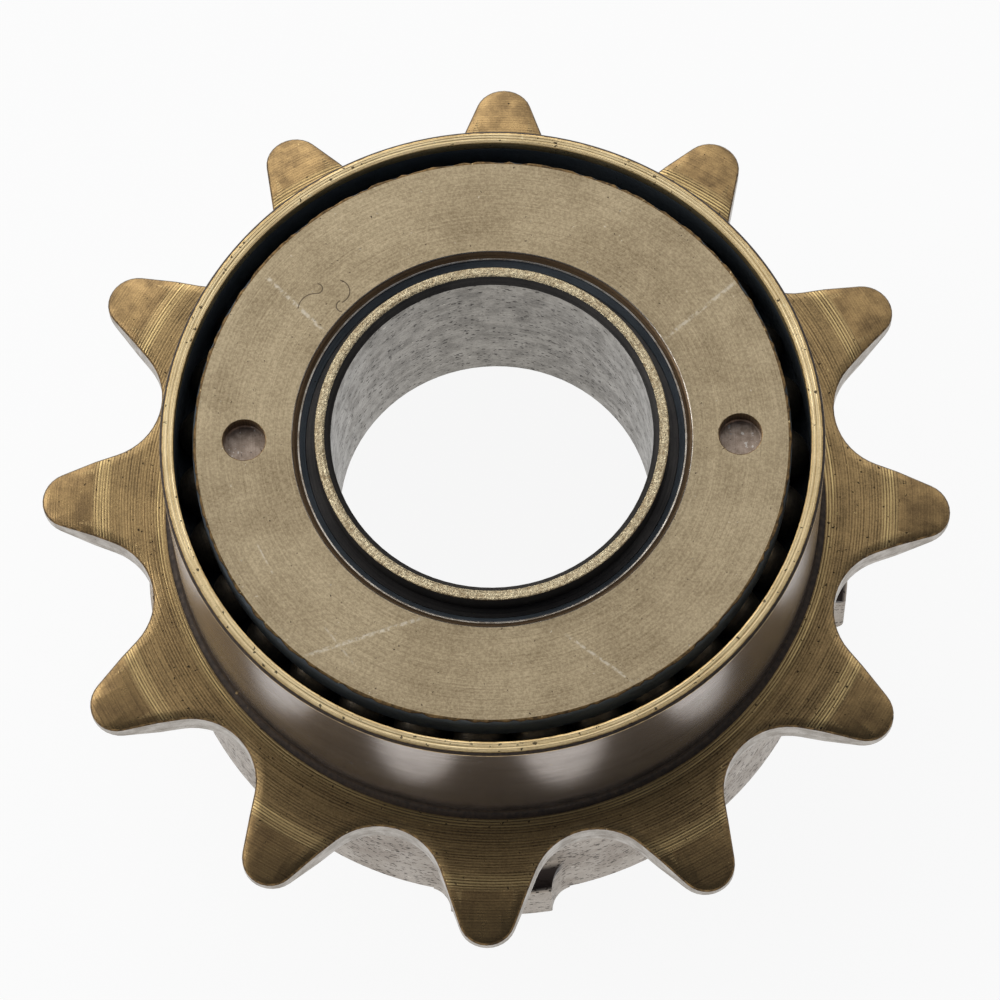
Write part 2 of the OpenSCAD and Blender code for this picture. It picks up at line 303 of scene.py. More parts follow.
@dataclass(frozen=True)
class SteelFinish:
    """One finish of the steel: its colours, tool marks, specks with painted glints, wear and a band of painted
    shade.
    """

    name: str
    light: Colour
    dark: Colour
    pit: Colour
    metallic: float = 0.85
    roughness: float = 0.42
    rough_spread: float = 0.12
    lay: Lay = Lay.FACE
    cut_pitch: float = 0.21
    cut_depth: float = 0.004
    cut_show: float = 0.3
    line_pitch: float = 0.06
    line_show: float = 0.2
    band_pitch: float = 1.1
    band_show: float = 0.15
    patch_size: float = 2.5
    patch_show: float = 0.3
    grain_size: float = 0.09
    grain_depth: float = 0.002
    grain_show: float = 0.3
    pit_size: float = 0.3
    pit_reach: float = 0.2
    pit_share: float = 0.1
    pit_stretch: float = 1.0
    bright: Colour = (0.8, 0.7, 0.5)
    bright_share: float = 0.03
    bright_rings: tuple[Point, ...] = ()
    scratches: tuple[Scratch, ...] = ()
    fibres: tuple[Curl, ...] = ()
    painted_shade: Optional[PaintedShadeBand] = None

    def material(self) -> bpy.types.Material:
        """Makes the material, or finds it when it is already made.

        Returns:
            The material.
        """
        made = bpy.data.materials.get(self.name)
        if made:
            return made
        made = bpy.data.materials.new(self.name)
        made.use_nodes = True
        self.draw(Graph(made.node_tree))
        return made

    def draw(self, graph: Graph) -> None:
        """Fills the graph.

        Args:
            graph: The empty graph of the material.
        """
        place = graph.node("ShaderNodeTexCoord", {}).outputs["Object"]
        place = graph.node("ShaderNodeVectorMath", {0: place, "Scale": 1.0 / MM}, operation="SCALE").outputs[0]
        axes = graph.node("ShaderNodeSeparateXYZ", {0: place}).outputs
        x, y, z = axes[0], axes[1], axes[2]
        flat = graph.join(x, y, 0.0)
        radius = graph.node("ShaderNodeVectorMath", {0: flat}, operation="LENGTH").outputs["Value"]
        around = graph.node("ShaderNodeVectorMath", {0: flat}, operation="NORMALIZE").outputs[0]
        turn = graph.node("ShaderNodeSeparateXYZ", {0: around}).outputs
        across = radius if self.lay is Lay.FACE else z

        def rings(pitch: float, spread: float, detail: float) -> bpy.types.NodeSocket:
            """Draws uneven rings of a pitch, broken up round the axis by spread."""
            marks = graph.join(
                graph.times(turn[0], spread),
                graph.times(turn[1], spread),
                graph.math("DIVIDE", across, pitch),
            )
            return graph.noise(marks, 1.0, detail, 0.6)

        patch = graph.ramp(graph.noise(place, self.patch_size, 5.0, 0.62), 0.34, 0.66)
        grain = graph.ramp(graph.noise(place, self.grain_size, 3.0, 0.75), 0.3, 0.7)
        line = graph.ramp(rings(self.line_pitch, 3.0, 2.0), 0.34, 0.66)
        band = graph.ramp(rings(self.band_pitch, 0.9, 2.0), 0.35, 0.65)
        wander = graph.times(band, 0.9)
        phase = graph.times(across, math.tau / self.cut_pitch, wander)
        wave = graph.times(graph.math("SINE", phase), 0.5, 0.5)
        cut = graph.times(wave, graph.times(line, 0.5, 0.5))

        tone: Value = 0.0
        for layer, show in (
            (patch, self.patch_show), (cut, self.cut_show), (line, self.line_show),
            (band, self.band_show), (grain, self.grain_show),
        ):
            tone = graph.times(layer, show, tone)
        total = self.patch_show + self.cut_show * 0.75 + self.line_show + self.band_show + self.grain_show
        colour = graph.mix(graph.math("DIVIDE", tone, total), self.light, self.dark)

        # Painted highlights: in bands of radius or height the turned lines shine in the bright colour.
        for low, high in self.bright_rings:
            middle = (low + high) / 2.0
            off = graph.math("ABSOLUTE", graph.math("SUBTRACT", across, middle))
            ring = graph.ramp(off, (high - low) * 0.6, (high - low) * 0.3)
            shine = graph.times(graph.times(ring, graph.ramp(wave, 0.75, 0.35)), line)
            colour = graph.mix(shine, colour, self.bright)

        pits, glints = self.specks(graph, place, (x, y, z))
        colour = graph.mix(graph.times(pits, PIT_SHOW), colour, self.pit)
        # Painted highlights: bright glint spots mixed into the base colour.
        colour = graph.mix(graph.times(glints, GLINT_SHOW), colour, self.bright)
        # Painted shade: a soft dark band mixed into the colour.
        if self.painted_shade:
            colour = graph.mix(self.painted_shade.mask(graph, radius, z, patch), colour, self.painted_shade.colour)
        scored = self.scored(graph, place, (x, y))
        if self.scratches:
            colour = graph.mix(scored, colour, self.bright)
        for fibre in self.fibres:
            colour = graph.mix(fibre.mask(graph, x, y), colour, self.pit)

        rough = graph.times(patch, self.rough_spread, self.roughness - self.rough_spread / 2.0)
        rough = graph.times(pits, PIT_ROUGH, rough)

        height: Value = 0.0
        for layer, depth in (
            (cut, self.cut_depth), (line, self.cut_depth * 0.4), (grain, self.grain_depth),
            (pits, PIT_DEPTH), (scored, SCORE_DEPTH),
        ):
            height = graph.times(layer, -depth, height)
        bump = graph.node("ShaderNodeBump", {"Height": height, "Strength": 1.0, "Distance": MM}).outputs[0]

        shader = graph.node(
            "ShaderNodeBsdfPrincipled",
            {"Base Color": colour, "Metallic": self.metallic, "Roughness": rough, "Normal": bump},
        )
        graph.node("ShaderNodeOutputMaterial", {0: shader.outputs[0]})

    def specks(
        self, graph: Graph, place: Value, axes: tuple[Value, Value, Value]
    ) -> tuple[bpy.types.NodeSocket, bpy.types.NodeSocket]:
        """Scatters dark pits and bright glints of uneven outline.

        Args:
            graph: The material's graph.
            place: The coordinates in mm.
            axes: The X, Y and Z coordinates in mm.

        Returns:
            The mask of the pits and the mask of the glints.
        """
        drift = graph.node("ShaderNodeTexNoise", {"Vector": place, "Scale": 5.0, "Detail": 2.0}).outputs["Color"]
        stray = graph.node("ShaderNodeVectorMath", {0: drift, "Scale": 0.35}, operation="SCALE").outputs[0]
        stretched = graph.join(axes[0], axes[1], graph.times(axes[2], self.pit_stretch))
        shaken = graph.node("ShaderNodeVectorMath", {0: stretched, 1: stray}, operation="ADD").outputs[0]
        cell = graph.cells(shaken, self.pit_size)
        chance = graph.node("ShaderNodeSeparateColor", {0: cell.outputs["Color"]}).outputs
        reach = graph.times(chance[2], self.pit_reach)
        spot = graph.ramp(graph.math("SUBTRACT", reach, cell.outputs["Distance"]), -0.03, 0.05)
        pits, glints = (
            graph.times(spot, graph.ramp(luck, 1.0 - share, 1.005 - share))
            for luck, share in ((chance[0], self.pit_share), (chance[1], self.bright_share))
        )
        return pits, glints

    def scored(self, graph: Graph, place: Value, axes: tuple[Value, Value]) -> Value:
        """Draws all scratches, broken up along their length.

        Args:
            graph: The material's graph.
            place: The coordinates in mm.
            axes: The X and Y coordinates in mm.

        Returns:
            The mask of the scratches, or 0 where there are none.
        """
        if not self.scratches:
            return 0.0
        marks: Value = 0.0
        for scratch in self.scratches:
            marks = graph.math("MAXIMUM", marks, scratch.mask(graph, *axes))
        broken = graph.ramp(graph.noise(place, 0.25, 3.0), 0.38, 0.6)
        return graph.times(marks, broken)


BRONZE = srgb(222, 194, 134)

RING_FACE = SteelFinish(
    "ring_turned_face", srgb(192, 161, 110), srgb(72, 58, 40), srgb(36, 28, 22),
    roughness=0.34, cut_pitch=0.17, cut_depth=0.01, cut_show=0.55, line_show=0.25, band_show=0.12,
    grain_size=0.12, grain_depth=0.003, grain_show=0.45, pit_size=0.25, pit_share=0.32, pit_reach=0.3,
    # Painted highlights: the turned lines shine in two bands of radius.
    bright=BRONZE, bright_share=0.06, bright_rings=((19.45, 20.0), (22.7, 23.6)),
)
RING_BEVEL = SteelFinish(
    "ring_tooth_bevel", srgb(172, 142, 95), srgb(84, 66, 45), srgb(36, 28, 22),
    roughness=0.33, cut_pitch=0.17, cut_depth=0.003, cut_show=0.18, line_show=0.25, grain_show=0.4,
    patch_show=0.55, patch_size=1.3, pit_share=0.15, bright=BRONZE,
)
RING_EDGE = SteelFinish(
    "ring_worn_edge", srgb(232, 196, 130), srgb(112, 86, 52), srgb(44, 32, 22),
    roughness=0.34, cut_show=0.0, line_show=0.1, patch_size=0.5, patch_show=0.7, bright=BRONZE,
)
RING_BURR = SteelFinish(
    "ring_tooth_burr", srgb(140, 112, 72), srgb(48, 38, 28), srgb(30, 24, 18),
    roughness=0.4, cut_show=0.0, line_show=0.1, patch_size=0.35, patch_show=0.9, pit_share=0.2,
    bright=srgb(240, 214, 160), bright_share=0.25,
)
RING_SIDE = SteelFinish(
    "ring_tooth_side", srgb(196, 190, 182), srgb(132, 122, 110), srgb(66, 56, 46),
    lay=Lay.WALL, roughness=0.38, cut_pitch=0.4, cut_depth=0.001, cut_show=0.1, patch_size=0.9, patch_show=0.5,
    bright=BRONZE,
)
DRUM_WALL = SteelFinish(
    "ring_drum_wall", srgb(184, 172, 163), srgb(136, 124, 114), srgb(50, 40, 32),
    lay=Lay.WALL, roughness=0.24, rough_spread=0.03, cut_depth=0.0006, cut_show=0.08, patch_show=0.14,
    grain_depth=0.0008, grain_show=0.15, pit_share=0.05, bright=BRONZE,
    # Painted shade, with grease: the drum's wall darkens toward its foot on the toothed plate.
    painted_shade=PaintedShadeBand(srgb(96, 86, 78), 18.5, 14.2, 15.9, 1.1),
)
RIM_LAND = SteelFinish(
    "ring_rim_land", srgb(252, 230, 182), srgb(166, 140, 94), srgb(50, 38, 26),
    roughness=0.34, cut_pitch=0.26, cut_depth=0.006, cut_show=0.55, line_show=0.3, pit_share=0.3,
    pit_size=0.25, pit_reach=0.4, bright=srgb(240, 226, 184), bright_share=0.08,
)
BLACK_OXIDE = SteelFinish(
    "oxide_black", srgb(64, 60, 56), srgb(32, 30, 30), srgb(84, 70, 50),
    metallic=0.55, roughness=0.45, pit_share=0.05, bright=srgb(110, 96, 72),
)
BROWN_OXIDE = SteelFinish(
    "oxide_brown", srgb(158, 130, 98), srgb(78, 60, 44), srgb(32, 26, 20),
    metallic=0.7, roughness=0.36, cut_pitch=0.16, cut_show=0.6, line_show=0.3, bright=srgb(190, 170, 130),
)
COVER_FACE = SteelFinish(
    "cover_ground_face", srgb(202, 183, 148), srgb(132, 114, 84), srgb(60, 46, 34),
    metallic=0.6, roughness=0.5, cut_depth=0.001, cut_show=0.06, line_show=0.22, band_show=0.08,
    patch_size=4.0, patch_show=0.24, grain_size=0.15, grain_depth=0.004, grain_show=0.5,
    pit_size=0.32, pit_reach=0.22, pit_share=0.2, bright=srgb(226, 216, 196), bright_share=0.06,
    scratches=(
        Scratch((-13.3, 10.4), (-9.4, 6.4), 0.17, 0.6),
        Scratch((9.6, 5.6), (14.4, 9.6), 0.16, 0.5),
        Scratch((-10.9, -13.1), (-3.6, -10.7), 0.17, 0.6),
        Scratch((3.9, -11.8), (8.0, -14.9), 0.13, 0.55),
        Scratch((-9.6, -11.2), (-7.8, -13.6), 0.09, 0.35),
        Scratch((-13.4, -6.2), (-12.4, -8.2), 0.08, 0.45),
    ),
    fibres=(
        Curl((-10.1, 7.95), 1.0, 130.0, 46.0),
        Curl((-10.0, 9.25), 0.3, 0.0, 88.0),
        Curl((-8.85, 9.05), 0.72, 5.0, 72.0, 0.05),
        Curl((-8.55, 8.15), 0.35, 190.0, 78.0, 0.05),
    ),
)
GAP_OXIDE = SteelFinish(
    "oxide_in_the_gap", srgb(106, 114, 120), srgb(68, 75, 82), srgb(30, 30, 34),
    lay=Lay.WALL, metallic=0.2, roughness=0.5, cut_show=0.1, bright=srgb(100, 100, 98),
)
# Dark pitted break of the rim's edge; on the fillet at the drum's foot the same finish is painted shade in the
# crease.
DARK_RIM_EDGE_AND_FOOT_SHADE = SteelFinish(
    "ring_dark_rim_edge_and_foot_shade", srgb(70, 54, 38), srgb(26, 20, 16), srgb(16, 14, 12),
    metallic=0.3, roughness=0.6, cut_show=0.1, patch_size=0.3, patch_show=0.6, bright=srgb(190, 160, 110),
    bright_share=0.2,
)
# Painted highlight: a near-white line on the cover's inner edge and chamfer.
PAINTED_HIGHLIGHT_LINE = SteelFinish(
    "cover_painted_highlight_line", srgb(226, 218, 206), srgb(120, 104, 84), srgb(50, 40, 30),
    roughness=0.25, cut_show=0.0, patch_size=0.7, patch_show=0.8, bright=srgb(250, 248, 240),
)
HOLE_FLOOR = SteelFinish(
    "cover_hole_floor", srgb(190, 172, 156), srgb(128, 110, 94), srgb(50, 42, 34),
    metallic=0.6, roughness=0.45, cut_show=0.1, patch_size=0.5, patch_show=0.6, pit_size=0.2, pit_reach=0.5,
    pit_share=0.15, bright=srgb(232, 228, 220), bright_share=0.3,
)
LIP = SteelFinish(
    "body_lip", srgb(252, 236, 196), srgb(116, 88, 52), srgb(48, 36, 24),
    roughness=0.28, cut_pitch=0.24, cut_depth=0.006, cut_show=0.25, patch_size=0.4, patch_show=0.5,
    grain_size=0.17, grain_depth=0.05, grain_show=0.9, pit_size=0.22, pit_share=0.2, bright=srgb(250, 240, 214),
    bright_share=0.4,
)
BORE_WALL = SteelFinish(
    "body_bore_wall", srgb(166, 160, 150), srgb(84, 79, 72), srgb(44, 38, 34),
    lay=Lay.WALL, roughness=0.34, cut_pitch=0.45, cut_depth=0.001, cut_show=0.1, line_show=0.25,
    patch_size=1.1, grain_size=0.16, grain_show=0.4, pit_size=0.32, pit_share=0.5, pit_reach=0.45,
    pit_stretch=2.2, bright=srgb(220, 214, 200),
)
SKIRT = SteelFinish(
    "body_skirt", srgb(178, 168, 156), srgb(130, 118, 106), srgb(40, 34, 30),
    lay=Lay.WALL, roughness=0.4, cut_show=0.04, cut_depth=0.0005, line_show=0.1, patch_show=0.25,
    pit_size=0.34, pit_reach=0.55, pit_share=0.75, pit_stretch=2.4, bright=srgb(226, 218, 206),
    # Painted shade: the lugs' ledges below the toothed plate are darkened for the plate's shadow and dark
    # reflection.
    bright_share=0.08, painted_shade=PaintedShadeBand(srgb(38, 30, 27), 19.76, 4.62, 6.7),
)
INNER_STEEL = SteelFinish(
    "inner_steel", srgb(168, 162, 154), srgb(116, 108, 98), srgb(54, 48, 42),
    roughness=0.36, bright=srgb(220, 214, 200),
)
# Painted shade: the balls are dark grey so that they stay unseen in the shade of the gap.
BALL_STEEL_DARK_FOR_SHADE = SteelFinish(
    "ball_steel_dark_for_shade", srgb(96, 88, 76), srgb(48, 44, 38), srgb(24, 22, 20),
    metallic=0.7, cut_show=0.0, patch_size=0.8, patch_show=0.6, bright=srgb(150, 142, 128),
)
SHIM_STEEL = SteelFinish(
    "shim_steel", srgb(186, 180, 172), srgb(136, 128, 118), srgb(80, 72, 62),
    roughness=0.3, bright=srgb(230, 226, 220),
)
PAWL_STEEL = SteelFinish(
    "pawl_steel", srgb(112, 110, 110), srgb(66, 64, 66), srgb(34, 34, 36),
    roughness=0.38, cut_show=0.05, bright=srgb(170, 170, 172),
)
SPRING_STEEL = SteelFinish(
    "spring_steel", srgb(186, 186, 190), srgb(130, 130, 136), srgb(80, 80, 84),
    roughness=0.25, cut_show=0.05, bright=srgb(220, 220, 224),
)


def put_in_scene(name: str, data: bpy.types.ID) -> bpy.types.Object:
    """Makes an object from a mesh, a lamp or a camera and links it to the scene."""
    made = bpy.data.objects.new(name, data)
    bpy.context.scene.collection.objects.link(made)
    return made


def hand_over(
    bm: BMesh, name: str, finishes: Sequence[SteelFinish], body: str, replaces: Sequence[str] = ()
) -> bpy.types.Object:
    """Turns a finished mesh into a piece that rides on a body.

    Args:
        bm: The mesh, in metres, which is freed.
        name: The name of the piece.
        finishes: The finishes, in the order of the faces' material numbers.
        body: The CAD body that the piece moves with.
        replaces: The CAD nodes that the piece stands for.

    Returns:
        The piece.
    """
    for face in bm.faces:
        face.smooth = True
    for edge in bm.edges:
        edge.smooth = edge.calc_face_angle(0.0) < SHARP_ANGLE
    mesh = bpy.data.meshes.new(name)
    bm.to_mesh(mesh)
    bm.free()
    for finish in finishes:
        mesh.materials.append(finish.material())
    piece = put_in_scene(name, mesh)
    weighted = piece.modifiers.new("even_shading", "WEIGHTED_NORMAL")
    weighted.keep_sharp = True
    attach(piece, body)
    if replaces:
        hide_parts(*replaces)
    LOG.info("%s: %d faces, rides on %s", name, len(mesh.polygons), body)
    return piece


def edges_among(bm: BMesh, verts: Iterable[BMVert]) -> list[BMEdge]:
    """Finds the edges whose two ends are both among some vertices.

    Args:
        bm: The mesh.
        verts: The vertices.

    Returns:
        The edges.
    """
    chosen = set(verts)
    return [edge for edge in bm.edges if edge.verts[0] in chosen and edge.verts[1] in chosen]


def only(kind: type, geometry: Iterable[object]) -> list:
    """Keeps the elements of one type."""
    return [part for part in geometry if isinstance(part, kind)]


def grow_strip(bm: BMesh, edges: Sequence[BMEdge], zone: int) -> list[BMVert]:
    """Extrudes a ring of edges in place and gives the new faces their material number.

    Args:
        bm: The mesh.
        edges: The ring.
        zone: The material number of the new faces.

    Returns:
        The new vertices.
    """
    grown = bmesh.ops.extrude_edge_only(bm, edges=edges)["geom"]
    for face in only(BMFace, grown):
        face.material_index = zone
    return only(BMVert, grown)


class TurnedShell:
    """A shell of turned steel that grows ring by ring from an open edge."""

    def __init__(self, bm: BMesh, edges: Sequence[BMEdge], steps: int) -> None:
        """Starts from an open ring of edges.

        Args:
            bm: The mesh.
            edges: The open ring.
            steps: The number of edges in a full turn.
        """
        self.bm = bm
        self.edges = list(edges)
        self.steps = steps
        self.step = math.tau / steps

    def grow(self, place: Callable[[int], Place], zone: int) -> None:
        """Adds a strip of faces.

        Args:
            place: Gives the radius, the angle and the height of the vertex with an index.
            zone: The material number of the new faces.
        """
        fresh = grow_strip(self.bm, self.edges, zone)
        for vert in fresh:
            angle = math.atan2(vert.co.y, vert.co.x)
            radius, turned, height = place(round(angle / self.step) % self.steps)
            vert.co = Vector((radius * math.cos(turned), radius * math.sin(turned), height)) * MM
        self.edges = edges_among(self.bm, fresh)

    def follow(self, profile: Sequence[Ring]) -> None:
        """Follows a profile.

        Args:
            profile: The radius, the height and the material number of each next ring.
        """
        for radius, height, zone in profile:
            self.grow(lambda index: (radius, index * self.step, height), zone)


class RingZone(IntEnum):
    """The zones of the chain ring, in the order of its finishes."""

    FACE = 0
    BEVEL = 1
    EDGE = 2
    SIDE = 3
    DRUM = 4
    LAND = 5
    GAP = 6
    BREAK_AND_FOOT_SHADE = 7
    BURR = 8


@dataclass
class ChainRing:
    """The outer ring: chain teeth, drum, rim and the ratchet inside."""

    chain_pitch: float = 12.7
    teeth: int = 12
    seat_r: float = 3.82
    crest_rise: float = 2.2
    crest_r: float = 1.68
    low: float = 12.5
    high: float = 14.6
    bevel_reach: float = 3.0
    crest_t: float = 0.9
    turn: float = -1.5
    drum_r: float = 19.0025
    fillet: float = 0.4
    rim_z: float = 25.6
    rim_chamfer: float = 0.17
    track_r: float = 16.6
    cup_r: float = 1.6025
    upper_z: float = 22.0
    lower_z: float = 14.4
    crest_inner_r: float = 15.4
    ratchet_teeth: int = 24
    ratchet_depth: float = 1.15
    ratchet_turn: float = 0.0
    crest_share: float = 0.16
    back_share: float = 0.73
    edge_rings: tuple[Point, ...] = ((0.0, 0.19), (0.09, 0.09), (0.42, 0.0))
    blank_line: float = 1.45
    blank_margin: float = 0.29
    blank_rises: tuple[float, ...] = (-0.05, 0.0, 0.04)
    blank_depth: float = 0.03
    drum_heights: tuple[float, ...] = (15.6, 18.0, 21.0, 24.0)
    grooves: tuple[float, ...] = (18.68, 18.52, 18.36)
    groove_half: float = 0.025
    groove_depth: float = 0.018
    edge_ease: float = 0.012
    race_ease: float = 0.014
    race_lip: float = 0.05
    bright_wall: float = 0.75
    fillet_steps: int = 5
    cup_steps: int = 8
    seat_steps: int = 8
    flank_steps: int = 2
    crest_steps: int = 6
    rows: int = 5
    finishes: tuple[SteelFinish, ...] = (
        RING_FACE, RING_BEVEL, RING_EDGE, RING_SIDE, DRUM_WALL, RIM_LAND, GAP_OXIDE, DARK_RIM_EDGE_AND_FOOT_SHADE, RING_BURR
    )

    def __post_init__(self) -> None:
        """Works out the sizes that follow from the others."""
        self.pitch_r = self.chain_pitch / (2.0 * math.sin(math.pi / self.teeth))
        self.tip_r = self.pitch_r + self.crest_rise
        self.bevel_in = self.tip_r - self.bevel_reach
        self.race_r = self.track_r + self.cup_r
        half = self.seat_steps + 2 * self.flank_steps + self.crest_steps
        self.steps = 2 * half * self.teeth

    def half_tooth(self, bm: BMesh, inset: float) -> None:
        """Draws half of a tooth: crest arc, flank and seat arc.

        Args:
            bm: The mesh.
            inset: How far the outline lies inside the real one.
        """
        half_step = math.pi / self.teeth
        seat = Vector((math.cos(half_step), math.sin(half_step), 0.0)) * self.pitch_r
        crest = Vector((self.tip_r - self.crest_r, 0.0, 0.0))
        span = crest - seat
        flank = math.atan2(span.y, span.x) + math.asin((self.seat_r + self.crest_r) / span.length)
        normal = Vector((-math.sin(flank), math.cos(flank), 0.0))
        ends = (crest + normal * (self.crest_r - inset), seat - normal * (self.seat_r + inset))
        top = bm.verts.new((crest + Vector((self.crest_r - inset, 0.0, 0.0))) * MM)
        lean = math.atan2(normal.y, normal.x)
        last = bmesh.ops.spin(
            bm, geom=[top], cent=crest * MM, axis=AXLE, angle=lean, steps=self.crest_steps
        )["geom_last"]
        run = ends[1] - ends[0]
        share = next(k / 1000.0 for k in range(1001) if (ends[0] + run * k / 1000.0).length <= self.bevel_in)
        stops = [share * k / self.flank_steps for k in range(1, self.flank_steps + 1)]
        stops += [share + (1.0 - share) * k / self.flank_steps for k in range(1, self.flank_steps + 1)]
        for stop in stops:
            last = bmesh.ops.extrude_vert_indiv(bm, verts=only(BMVert, last))["verts"]
            last[0].co = (ends[0] + run * stop) * MM
        back = math.atan2(-normal.y, -normal.x)
        bottom = math.atan2(-seat.y, -seat.x)
        swing = (bottom - back + math.pi) % math.tau - math.pi
        bmesh.ops.spin(bm, geom=last, cent=seat * MM, axis=AXLE, angle=swing, steps=self.seat_steps)

    def outline(self, bm: BMesh, inset: float) -> list[BMVert]:
        """Draws the whole outline of the teeth.

        Args:
            bm: The mesh.
            inset: How far the outline lies inside the real one.

        Returns:
            The vertices of the closed outline.
        """
        before = set(bm.verts)
        self.half_tooth(bm, inset)

        def drawn() -> list:
            """Lists what this outline has so far."""
            verts = [vert for vert in bm.verts if vert not in before]
            return verts + edges_among(bm, verts)

        bmesh.ops.mirror(bm, geom=drawn(), merge_dist=1e-7, axis="Y")
        step = math.tau / self.teeth
        bmesh.ops.spin(
            bm, geom=drawn(), axis=AXLE, angle=step * (self.teeth - 1), steps=self.teeth - 1, use_duplicate=True
        )
        bmesh.ops.remove_doubles(bm, verts=only(BMVert, drawn()), dist=1e-6)
        return only(BMVert, drawn())

    def face_height(self, radius: float) -> float:
        """Gives the height of the bevelled upper face at a radius."""
        drop = (self.high - self.low - self.crest_t) / 2.0
        return self.high - max(0.0, radius - self.bevel_in) / self.bevel_reach * drop

    def plate_half(self, bm: BMesh) -> None:
        """Makes the upper face of the toothed plate, from the teeth in to the drum.

        Args:
            bm: The empty mesh.
        """
        drops: dict[BMVert, float] = {}
        loops = []
        for inset, drop in self.edge_rings:
            loops.append(self.outline(bm, inset))
            drops.update((vert, drop) for vert in loops[-1])
        for zone, outer, inner in zip((RingZone.BURR, RingZone.FACE), loops, loops[1:]):
            made = bmesh.ops.bridge_loops(bm, edges=edges_among(bm, outer) + edges_among(bm, inner))["faces"]
            for face in made:
                face.material_index = zone
        edges = edges_among(bm, loops[-1])
        inner_r = self.drum_r + self.fillet
        for left in range(self.rows, 0, -1):
            fresh = grow_strip(bm, edges, RingZone.FACE)
            ring = sorted(fresh, key=lambda v: math.atan2(v.co.y, v.co.x + 0.0) % math.tau)
            if math.tau - math.atan2(ring[-1].co.y, ring[-1].co.x) % math.tau < 1e-5:
                ring.insert(0, ring.pop())
            for index, vert in enumerate(ring):
                turn = math.tau * index / self.steps
                goal = Vector((math.cos(turn), math.sin(turn), 0.0)) * inner_r * MM
                beyond = vert.co.length / MM - self.bevel_in
                if left == self.rows and beyond > 0.02:
                    vert.co *= self.bevel_in / (self.bevel_in + beyond)
                else:
                    vert.co = vert.co.lerp(goal, 1.0 / left)
            edges = edges_among(bm, ring)
        for vert in bm.verts:
            vert.co.z = (self.face_height(vert.co.xy.length / MM) - drops.get(vert, 0.0)) * MM
        limit = (self.bevel_in - 0.01) * MM
        for face in bm.faces:
            if face.material_index == RingZone.FACE and all(vert.co.xy.length > limit for vert in face.verts):
                face.material_index = RingZone.BEVEL

    def profile(self) -> list[Ring]:
        """Gives the drum, rim and upper ball cup as rings from the plate up.

        Returns:
            Radius, height and material number of each ring.
        """
        rings: list[Ring] = []
        centre = (self.drum_r + self.fillet, self.high + self.fillet)
        # Painted shade: the fillet at the drum's foot takes the dark finish, for the shade in the crease.
        for k in range(1, self.fillet_steps + 1):
            a = math.pi / 2.0 * k / self.fillet_steps
            place = (centre[0] - self.fillet * math.sin(a), centre[1] - self.fillet * math.cos(a))
            rings.append((*place, RingZone.BREAK_AND_FOOT_SHADE))
        edge = self.rim_z - self.rim_chamfer
        rings += [(self.drum_r, z, RingZone.DRUM) for z in (*self.drum_heights, edge - 0.1, edge - 0.03)]
        rings += [
            (self.drum_r - self.edge_ease, edge + self.edge_ease, RingZone.EDGE),
            (self.drum_r - self.rim_chamfer + self.edge_ease, self.rim_z - self.edge_ease, RingZone.BREAK_AND_FOOT_SHADE),
            (self.drum_r - self.rim_chamfer - 0.03, self.rim_z, RingZone.EDGE),
        ]
        for groove_r in self.grooves:
            rings += [
                (groove_r + self.groove_half, self.rim_z, RingZone.LAND),
                (groove_r, self.rim_z - self.groove_depth, RingZone.LAND),
                (groove_r - self.groove_half, self.rim_z, RingZone.LAND),
            ]
        rings += [
            (self.race_r + self.race_lip, self.rim_z, RingZone.LAND),
            (self.race_r + self.race_ease, self.rim_z - self.race_ease, RingZone.EDGE),
            (self.race_r, self.rim_z - self.race_lip, RingZone.EDGE),
            (self.race_r, self.rim_z - self.bright_wall, RingZone.LAND),
            (self.race_r, self.upper_z, RingZone.GAP),
        ]
        return rings + self.cup(self.upper_z, -1.0)

    def cup(self, height: float, side: float) -> list[Ring]:
        """Gives a ball cup as rings, from the race wall in to the ratchet.

        Args:
            height: The height of the ball centres.
            side: 1 where the cup closes above the balls and -1 where it closes below them.

        Returns:
            Radius, height and material number of each ring.
        """
        turns = [math.pi / 2.0 * k / self.cup_steps for k in range(1, self.cup_steps + 1)]
        return [
            (self.track_r + self.cup_r * math.cos(a), height + side * self.cup_r * math.sin(a), RingZone.GAP)
            for a in turns
        ]

    def saw(self, index: int) -> Point:
        """Gives a point of the saw-toothed outline inside the ring.

        Args:
            index: The number of the vertex, counted round the ring.

        Returns:
            The radius and the angle.
        """
        each = self.steps // self.ratchet_teeth
        step = math.tau / self.ratchet_teeth
        start = math.radians(self.ratchet_turn) % step
        tooth, part = divmod(index, each)
        root = self.crest_inner_r + self.ratchet_depth
        corners = (
            (0, 0.0, root),
            (1, 0.0, self.crest_inner_r),
            (4, self.crest_share, self.crest_inner_r),
            (each - 4, self.back_share, root),
            (each, 1.0, root),
        )
        for (k0, s0, r0), (k1, s1, r1) in zip(corners, corners[1:]):
            if k0 <= part <= k1:
                share = (part - k0) / (k1 - k0)
                return r0 + (r1 - r0) * share, start + (tooth + s0 + (s1 - s0) * share) * step
        return root, 0.0

